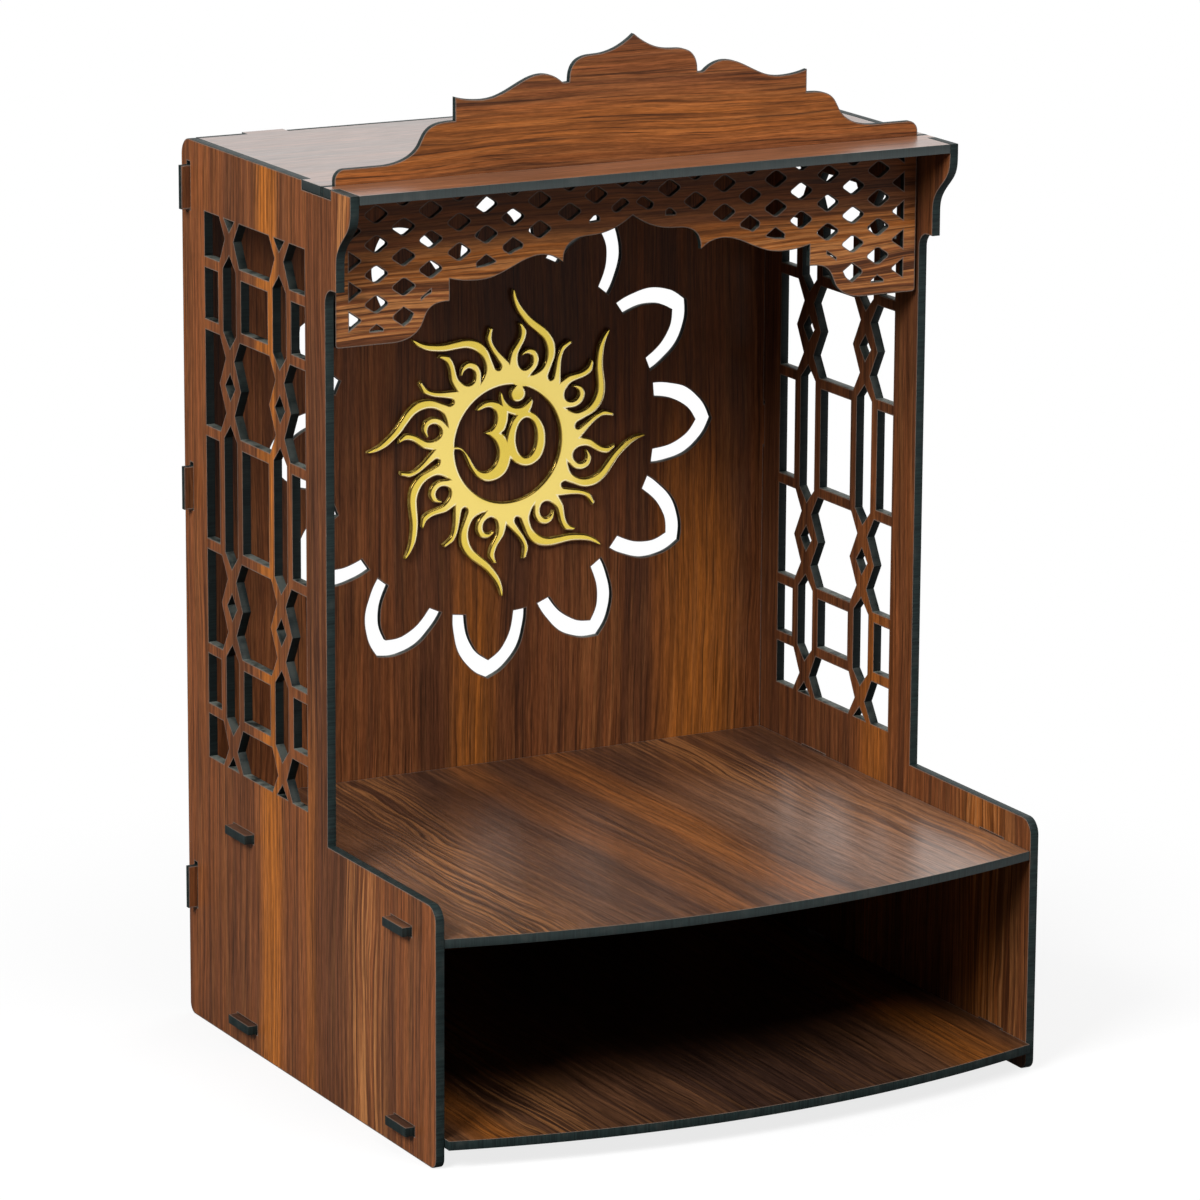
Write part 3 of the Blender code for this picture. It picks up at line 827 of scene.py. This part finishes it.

        # Ground, dark tones and bands; the dark bands carry painted shade too, and the pale
        # bands painted glare.
        colour = tree.blend(tree.between(broad, 0.42, 0.72, 0.0, 0.8), self.brown, self.umber)
        colour = tree.blend(tree.between(stripe, 0.48, 0.68, 0.0, 0.7), colour, self.umber)
        # Dark bands: of the print, and painted shade on some boards.
        colour = tree.blend(tree.times(total(self.dark_bands_and_painted_shade, line), 0.85), colour, self.umber)
        glow = tree.times(total(self.glows, line), tree.between(streak, 0.3, 0.7, 1.0, 0.62))
        colour = tree.blend(glow, colour, self.amber)
        # Painted glare: a pale veil over the print where its bands lie.
        colour = tree.blend(total(self.painted_glare_bands, line), colour, self.painted_glare_tint)
        colour = tree.scaled(colour, tree.between(streak, 0.3, 0.7, 1.3, 0.76))

        # Light lines, most in the veins.
        threads = tree.times(tree.line(vein, 0.3, 0.16), tree.between(light, 0.48, 0.66))
        ribbons = tree.times(vein, tree.between(ribbon, 0.5, 0.6, 0.0, 0.72))
        colour = tree.blend(tree.math("MAXIMUM", threads, ribbons), colour, self.honey)

        # Dark lines and fibres.
        grooves = tree.times(vein, tree.between(ribbon, 0.38, 0.47, 0.6, 0.0))
        threads = tree.between(dark, 0.5, 0.68, 0.0, 0.62 * self.contrast)
        colour = tree.blend(tree.math("MAXIMUM", grooves, threads), colour, self.ink)
        # Painted light and shade: the print is scaled by painted_light_factor, along with the
        # fine noise.
        colour = tree.scaled(colour, tree.between(fine, 0.25, 0.75, 1.3 * self.painted_light_factor,
                                                  0.72 * self.painted_light_factor))
        colour = tree.scaled(colour, tree.between(fibre, 0.25, 0.8, 0.86, 1.14))
        return colour, fine

    def wall(self, tree: Tree, where: Socket) -> tuple[Socket, Socket]:
        """Charred wall, with the fine lines that the beam leaves across the thickness.

        In a hole it is darker, and a pale painted sheen lies on the hole's upward
        sills.

        Args:
            tree: The material's tree.
            where: Object coordinates.

        Returns:
            The wall's colour, and its lines as a number.
        """
        parts = tree.parts(where)
        scale = [self.line_grain[0]] * 3
        scale[self.lay.thin.value] = self.line_grain[1]
        lines = tree.noise(tree.vector(*map(tree.times, parts, scale)))
        cloud = tree.noise(where, self.smoke_grain, 3.0)
        colour = tree.blend(tree.between(lines, 0.25, 0.75), *self.char)
        colour = tree.blend(tree.between(cloud, 0.5, 0.8, 0.0, 0.5), colour, self.smoke)
        # Walls of holes are darker, down to 0.4 of the charred colour.
        colour = tree.scaled(colour, tree.between(tree.attribute("hole"), 0.0, 1.0, 1.0, 0.4))
        # Painted sheen: the upward sills of holes are made pale, broken up by the cloud noise.
        sill = tree.times(tree.attribute("sill"), tree.between(cloud, 0.3, 0.6))
        return tree.blend(sill, colour, self.painted_sill_sheen), lines


@dataclass(frozen=True)
class GoldAcrylic:
    """Glossy gold acrylic with rounded cut edges, a painted highlight on the rims that face one
    side and painted shade on the rims that face away.

    Attributes:
        face: The sheet's colour on the ring, whose radius is in millimetres.
        deep: Its colour away from the ring.
        rim: Painted highlight on the rims that face the painted highlight side.
        shade: Painted shade on the rims that face away from it, and the walls' dark streaks.
        wall: The walls' light streaks.
    """

    face: Colour = (1.0, 0.775, 0.205)
    deep: Colour = (0.86, 0.64, 0.095)
    rim: Colour = (1.0, 0.88, 0.50)
    shade: Colour = (0.27, 0.17, 0.022)
    wall: Colour = (0.50, 0.37, 0.11)
    ring_radius: float = 42.0
    metal: float = 0.78
    roughness: float = 0.15

    def dress(self, name: str) -> bpy.types.Material:
        """Make the material.

        The distance from the ring says how deep the gold is. The attributes painted_glint and
        burn say where a highlight is painted on a rim and where shade is painted on it.

        Args:
            name: The material's name.

        Returns:
            A material that is procedural all over.
        """
        tree = Tree(bpy.data.materials.new(name))
        where = tree.place()
        x, _, z = tree.parts(where)
        away = tree.reach(*(tree.line(part, METRE, -middle)
                            for part, middle in zip((x, z), SUN_CENTRE)))
        ring = tree.math("ABSOLUTE", tree.math("ADD", away, -self.ring_radius))
        ring = tree.line(tree.noise(where, 35.0), 8.0, ring)
        colour = tree.blend(tree.between(ring, 8.0, 20.0), self.face, self.deep)
        burn, painted_glint = tree.attribute("burn"), tree.attribute("painted_glint")
        # Painted highlight on rims that face the highlight side, painted shade on rims that
        # face away.
        painted_highlight = tree.times(tree.between(painted_glint, -0.1, 0.5), tree.between(burn, 0.3, 0.8))
        colour = tree.blend(painted_highlight, colour, self.rim)
        painted_rim_shade = tree.times(tree.between(painted_glint, -0.4, 0.1, 1.0, 0.0), tree.between(burn, 0.5, 1.1))
        colour = tree.blend(painted_rim_shade, colour, self.shade)
        streaks = tree.between(tree.noise(where, 420.0), 0.35, 0.65)
        wall = tree.between(burn, 1.45, 1.85)
        tree.shade("Base Color",
                   tree.blend(wall, colour, tree.blend(streaks, self.shade, self.wall)))
        tree.shade("Metallic", tree.line(wall, -0.5, self.metal))
        tree.shade("Roughness", self.roughness)
        return tree.owner


@dataclass
class Board:
    """One laminated board, made anew round its node's outline.

    A side of a hole is a sill by how far it faces up, raised to the sill's power.
    """

    node: str
    finish: WalnutLaminate
    edge: CutEdge = field(default_factory=CutEdge)
    sill_power: float = 2.5

    def build(self) -> bpy.types.Object:
        """Make the board, dress it and let it stand for its node."""
        packed = PackedBoard.read(self.node)
        outline = packed.outline.softened()
        holes = outline.of_holes()
        rise = np.maximum(outline.facing() @ packed.upward(), 0.0)
        piece = packed.sheet(self.node + "_cut", outline, self.edge, {"hole": holes},
                             {"sill": holes * rise ** self.sill_power})
        piece.data.materials.append(self.finish.dress(self.node + "_walnut"))
        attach(piece, ROOT)
        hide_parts(self.node)
        return piece


@dataclass
class SunEmblem:
    """Gold sheet on the back panel: the ring, its flames and the sign in its middle.

    The sign is one sheet with the ring, so its strokes break into the edge of the ring's
    hole. They are given in millimetres from the ring's centre, x to the right and z up, and
    each run goes on where the last one ends at a corner.

    Attributes:
        strokes: The sign's outer edge, from the ring round it and back.
        slit: Edge of its narrow opening. The loop is its oval one.
        dot_turn: Where the dot's edge leaves the ring and comes back to it, in degrees.
        painted_highlight_side: Rims that face there, z first, get a painted highlight, and rims
            that face away get painted shade.
    """

    node: str = "sun_emblem"
    finish: GoldAcrylic = GoldAcrylic()
    edge: CutEdge = field(default_factory=lambda: CutEdge(rim=2.0, ease=0.9, steps=5))
    strokes: tuple[tuple[Spot, ...], ...] = (
        ((-33.75, -0.4), (-31.4, -0.6), (-29.3, -1.6), (-27.6, -3.8), (-26.4, -6.5),
         (-24.9, -10.0), (-22.9, -13.5), (-20.4, -16.8), (-17.4, -19.2), (-14.4, -20.8),
         (-10.9, -21.2), (-6.9, -20.5), (-3.4, -18.8), (-0.8, -16.4), (0.9, -13.5),
         (1.7, -11.0), (2.1, -9.5)),
        ((2.1, -9.5), (5.1, -12.0), (9.1, -14.0), (13.6, -14.5), (17.6, -13.2), (21.1, -10.5),
         (23.3, -6.5), (24.3, -2.5), (24.5, 2.0), (24.0, 6.0), (22.7, 9.7), (20.4, 13.2),
         (17.6, 16.0), (14.6, 17.8)),
        ((14.6, 17.8), (15.6, 19.8), (16.3, 22.0), (16.3, 23.9), (15.4, 25.2)),
        ((15.4, 25.2), (13.7, 23.9), (11.6, 22.3), (9.1, 21.1), (6.1, 20.8), (3.1, 21.5),
         (0.5, 23.2), (-1.6, 25.7), (-3.0, 28.2), (-4.1, 30.5)),
        ((-4.1, 30.5), (-5.0, 28.6), (-5.0, 26.3), (-4.5, 23.9)),
        ((-4.5, 23.9), (-6.4, 25.0), (-8.5, 25.7), (-10.9, 26.1), (-13.4, 25.9),
         (-15.9, 25.1), (-18.2, 23.6), (-20.4, 21.2)),
        ((-20.4, 21.2), (-18.4, 20.8), (-16.4, 21.2), (-14.4, 21.8), (-11.9, 21.9),
         (-9.8, 21.0), (-8.1, 19.0), (-7.3, 16.2), (-7.6, 13.5), (-8.9, 10.8), (-10.9, 9.0),
         (-13.1, 8.0), (-14.9, 7.5)),
        ((-14.9, 7.5), (-12.9, 6.6), (-10.9, 5.0), (-8.9, 2.9), (-7.3, 0.2), (-6.3, -2.5),
         (-6.1, -5.5), (-6.9, -9.0), (-8.5, -11.8), (-10.9, -13.8), (-13.7, -14.8),
         (-16.4, -14.5), (-18.9, -13.2), (-20.8, -11.1), (-22.4, -8.5), (-24.1, -5.5),
         (-26.4, -2.5), (-28.9, 0.1), (-31.3, 1.5), (-33.7, 1.9), (-33.8, 1.9)))
    slit: tuple[tuple[Spot, ...], ...] = (
        ((0.6, 17.2), (2.6, 16.4), (4.7, 15.6)),
        ((4.7, 15.6), (2.6, 13.1), (1.1, 9.8), (-0.1, 6.5), (-0.8, 3.6)),
        ((-0.8, 3.6), (-2.0, 5.4), (-3.5, 6.6)),
        ((-3.5, 6.6), (-1.8, 8.0), (-0.5, 11.0), (0.4, 14.2), (0.6, 17.2)))
    loop_centre: Spot = (11.9, 2.4)
    loop_half: Spot = (6.5, 11.2)
    dot_centre: Spot = (6.5, 28.5)
    dot_radius: float = 5.0
    dot_turn: Spot = (92.0, 423.0)
    painted_highlight_side: Spot = (-0.64, 0.77)

    def placed(self, drawn: np.ndarray) -> np.ndarray:
        """Points of the sign in the sheet's plane, z first, so reversed to keep their left."""
        return (drawn + SUN_CENTRE)[::-1, ::-1] * MM

    def sign(self, outline: Outline) -> Outline:
        """Join the sign to the ring.

        Args:
            outline: The ring and its flames.

        Returns:
            The whole sheet's outline.
        """
        last = np.array([self.strokes[-1][-1]])
        body = np.concatenate([curve(run) for run in self.strokes] + [last])
        slit = np.concatenate([curve(run) for run in self.slit])
        hole = arc(self.loop_centre, self.loop_half, (360.0, 0.0), 56)[:-1]
        dot = arc(self.dot_centre, (self.dot_radius,) * 2, self.dot_turn, 40)
        whole = outline.interrupted(self.placed(body)).interrupted(self.placed(dot))
        return whole.with_loops([self.placed(slit), self.placed(hole)])

    def build(self) -> bpy.types.Object:
        """Make the sheet, dress it and let it stand for its node."""
        packed = PackedBoard.read(self.node)
        outline = self.sign(packed.outline.softened(4))
        # Painted glint: how far each rim faces the painted highlight side.
        piece = packed.sheet("sun_sheet", outline, self.edge,
                             {"painted_glint": outline.outward() @ self.painted_highlight_side}, {})
        piece.data.materials.append(self.finish.dress("gold_sheet"))
        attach(piece, ROOT)
        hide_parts(self.node)
        return piece


@dataclass(frozen=True)
class Lamp:
    """Soft square lamp that looks at the middle of the object.

    Attributes:
        size: Its side in metres.
        power: Its power in watts.
        mirrored: Whether glossy surfaces show it.
    """

    name: str
    place: Place
    size: float
    power: float
    mirrored: bool = True
    aim: Place = (0.0, 0.0, 0.25)

    def hang(self) -> None:
        """Make the lamp."""
        data = bpy.data.lights.new(self.name, "AREA")
        data.size = self.size
        data.energy = self.power
        item = added(self.name, data)
        item.location = self.place
        item.visible_glossy = self.mirrored
        way = Vector(self.aim) - Vector(self.place)
        item.rotation_euler = way.to_track_quat("-Z", "Y").to_euler()


@dataclass
class Studio:
    """Pale floor, white backdrop, soft lamps and the camera.

    Attributes:
        camera_turn: The camera's turn to the side, tilt down and roll, in degrees.
        paper: The floor's colour for the camera.
        paper_bounce: Its colour for other rays, so that little light comes up from it.
        fade: How far from the middle the floor starts to turn white and has turned so.
        near_white: How white it is before that.
        gloss_side: Direction on the floor in which gloss sees it white, and how far out.
        backdrop_side: Direction in which gloss sees the world white.
    """

    camera_place: Place = (-1.565, -2.8795, 1.0711)
    camera_turn: Place = (-28.31, 13.94, 0.33)
    focal: float = 184.5
    sensor: float = 36.0
    floor_half: float = 6.0
    floor_roughness: float = 0.9
    paper: Colour = (0.9, 0.9, 0.9)
    paper_bounce: Colour = (0.12, 0.12, 0.12)
    fade: Spot = (0.2, 0.6)
    near_white: float = 0.8
    gloss_side: Spot = (0.6, -0.8)
    gloss_fade: Spot = (0.15, 0.5)
    room: Colour = (0.09, 0.09, 0.093)
    backdrop_side: Place = (0.42, 0.78, 0.46)
    backdrop_fade: Spot = (0.45, 0.8)
    lamps: tuple[Lamp, ...] = (
        Lamp("key_lamp", (-2.2, -1.1, 1.95), 1.2, 108.0),
        Lamp("front_lamp", (0.3, -1.7, 2.3), 1.1, 38.0),
        Lamp("rear_lamp", (2.3, 1.5, 1.2), 1.6, 30.0, mirrored=False))

    def camera(self) -> None:
        """Set the camera where the photograph was taken from."""
        yaw, down, roll = (math.radians(angle) for angle in self.camera_turn)
        turn = (Matrix.Rotation(yaw, 4, "Z") @ Matrix.Rotation(math.pi / 2 - down, 4, "X")
                @ Matrix.Rotation(roll, 4, "Z"))
        data = bpy.data.cameras.new("camera")
        data.lens = self.focal
        data.sensor_width = self.sensor
        item = added("camera", data)
        item.matrix_world = Matrix.Translation(self.camera_place) @ turn
        bpy.context.scene.camera = item

    def backdrop(self) -> None:
        """World that is white to the camera and through glass, and to gloss on one side.

        To all other rays it is a dim grey room.
        """
        world = bpy.data.worlds.new("studio")
        bpy.context.scene.world = world
        tree = Tree(world)
        away = tree.node("TexCoord", {}, "Generated")
        facing = tree.node("VectorMath", {0: away, 1: self.backdrop_side}, "Value",
                           operation="DOT_PRODUCT")
        ray = tree.nodes.new("ShaderNodeLightPath").outputs
        glossy = tree.times(ray["Is Glossy Ray"], tree.between(facing, *self.backdrop_fade))
        seen = tree.math("MAXIMUM", ray["Is Camera Ray"], glossy)
        seen = tree.math("MAXIMUM", seen, ray["Is Transmission Ray"])
        tree.put(tree.nodes["Background"].inputs["Color"], tree.blend(seen, self.room, WHITE))

    def floor(self) -> None:
        """Pale floor that keeps the object's shadow and turns pure white further out.

        Gloss sees the part of it white that lies towards the camera.
        """
        half = self.floor_half
        mesh = bpy.data.meshes.new("floor")
        mesh.from_pydata([(-half, -half, 0), (half, -half, 0), (half, half, 0),
                          (-half, half, 0)], [], [(0, 1, 2, 3)])
        item = added("floor", mesh)
        tree = Tree(bpy.data.materials.new("floor_paper"))
        tree.shade("Roughness", self.floor_roughness)
        x, y, _ = tree.parts(tree.place())
        far = tree.between(tree.reach(x, y), *self.fade, self.near_white)
        front = tree.line(x, self.gloss_side[0], tree.times(y, self.gloss_side[1]))
        ray = tree.nodes.new("ShaderNodeLightPath").outputs
        seen = ray["Is Camera Ray"]
        glossy = tree.times(ray["Is Glossy Ray"], tree.between(front, *self.gloss_fade))
        tree.shade("Base Color", tree.blend(seen, self.paper_bounce, self.paper))
        white = tree.math("MAXIMUM", tree.times(far, seen), glossy)
        surface = tree.node("MixShader", {0: white, 1: tree.nodes["Principled BSDF"].outputs[0],
                                          2: tree.node("Emission", {})})
        tree.put(tree.nodes["Material Output"].inputs["Surface"], surface)
        item.data.materials.append(tree.owner)

    def build(self) -> None:
        """Set up the whole studio."""
        bpy.context.scene.view_settings.view_transform = "Standard"
        self.camera()
        self.backdrop()
        self.floor()
        for lamp in self.lamps:
            lamp.hang()


ROOT = next(iter(frame["bodies"]))


def laminated() -> tuple[Board, ...]:
    """The laminated boards, each with its own cut of the print."""
    return (
        # Painted light: this side is made lighter by its light factor.
        Board("side_panel_left", WalnutLaminate(
            Lay.SIDE, (40, 0), painted_light_factor=1.12,
            ribbon=1.9, glows=(Band(65, 16), Band(14, 9, 0.4, 0, (-50, 200))),
            veins=(Band(-60, 30, 1, 0.08, (-50, 150), 25),
                   Band(24, 11, 1, -0.12, (440, 600), 20)),
            dark_bands_and_painted_shade=(Band(-12, 20, 0.7), Band(110, 20, 0.35), Band(60, 70, 0.4, 0, (240, 600)),
                    Band(0, 20, 0.85, 0, (190, 450))))),
        # Painted shade: this side is darkened by its light factor, and most near the top by a
        # dark band.
        Board("side_panel_right", WalnutLaminate(
            Lay.SIDE, (260, 900), painted_light_factor=0.8, ribbon=2.2,
            glows=(Band(-90, 26, 0.7), Band(30, 20, 0.75, 0, (-50, 240))),
            veins=(Band(-100, 40, 1, 0.06, (-50, 150), 25),),
            dark_bands_and_painted_shade=(Band(100, 60, 0.6), Band(40, 90, 0.8, 0, (330, 600))))),
        # Painted shade: the back is darkened by its light factor, and its upper part under the
        # canopy by a dark band.
        Board("back_panel", WalnutLaminate(
            Lay.BACK, (700, 0), painted_light_factor=0.86,
            glows=(Band(-10, 18, 0.85, 0, (-50, 250)), Band(142, 32, 1, -0.04, (-50, 300))),
            veins=(Band(92, 20, 0.35, -0.12, (-50, 260)),),
            dark_bands_and_painted_shade=(Band(30, 60, 0.6, 0, (300, 700)),))),
        # Painted glare: a pale veil over the roof, whose print is darkened by its light factor.
        Board("roof_board", WalnutLaminate(
            Lay.TOP, (0, 1500), sheen=1, coat=1, painted_light_factor=0.8,
            painted_glare_bands=(Band(0, 400, 0.15),))),
        # Painted glare: a pale veil over the canopy, whose print is lightened by its light
        # factor.
        Board("canopy_board", WalnutLaminate(
            Lay.TOP, (330, 1500), sheen=0.7, coat=0.9, painted_light_factor=1.08,
            painted_glare_bands=(Band(0, 400, 0.2),))),
        # Painted light: the front is lightened a little by its light factor.
        Board("fretwork_front", WalnutLaminate(
            Lay.FRONT, (90, 2100), painted_light_factor=1.05, contrast=1.15, ribbon=2.2,
            glows=(Band(522, 20, 0.4, 0.03), Band(455, 14, 0.6)),
            veins=(Band(435, 40),), dark_bands_and_painted_shade=(Band(392, 15, 0.85),))),
        # Painted shade from its light factor, painted glare towards the right front, and darker
        # towards the back.
        Board("altar_deck", WalnutLaminate(
            Lay.SHELF, (1300, 400), wave=8, sheen=0.3, coat=0.6, painted_light_factor=0.82,
            ribbon=1.9, brown=COOL_BROWN, umber=(0.066, 0.030, 0.0185),
            glows=(Band(35, 20, 0.5), Band(-20, 16, 0.3)),
            painted_glare_bands=(Band(125, 75, 0.5, 0, (-400, 40)),),
            veins=(Band(-112, 34, 0.85, 0.15), Band(140, 34, 0.75, -0.2)),
            dark_bands_and_painted_shade=(Band(-60, 30, 0.5), Band(85, 26, 0.6),
                    Band(0, 260, 0.9, 0, (75, 400), 45)))),
        # Painted shade: the shelf is darkened to half by its light factor.
        Board("bottom_shelf", WalnutLaminate(
            Lay.SHELF, (1800, 0), wave=8, coat=0.5, painted_light_factor=0.5, contrast=1.3,
            brown=COOL_BROWN, umber=(0.050, 0.024, 0.0165),
            glows=(Band(-152, 20, 0.9), Band(150, 30, 0.9)),
            veins=(Band(-105, 36, 1, 0.1),), dark_bands_and_painted_shade=(Band(30, 80),))),
    )


def main() -> None:
    """Build every piece, then the studio."""
    logging.basicConfig(level=logging.INFO, format="%(name)s: %(message)s")
    for item in (*laminated(), SunEmblem()):
        piece = item.build()
        LOG.info("%s: %d faces", piece.name, len(piece.data.polygons))
    Studio().build()


if __name__ == "__main__":
    main()
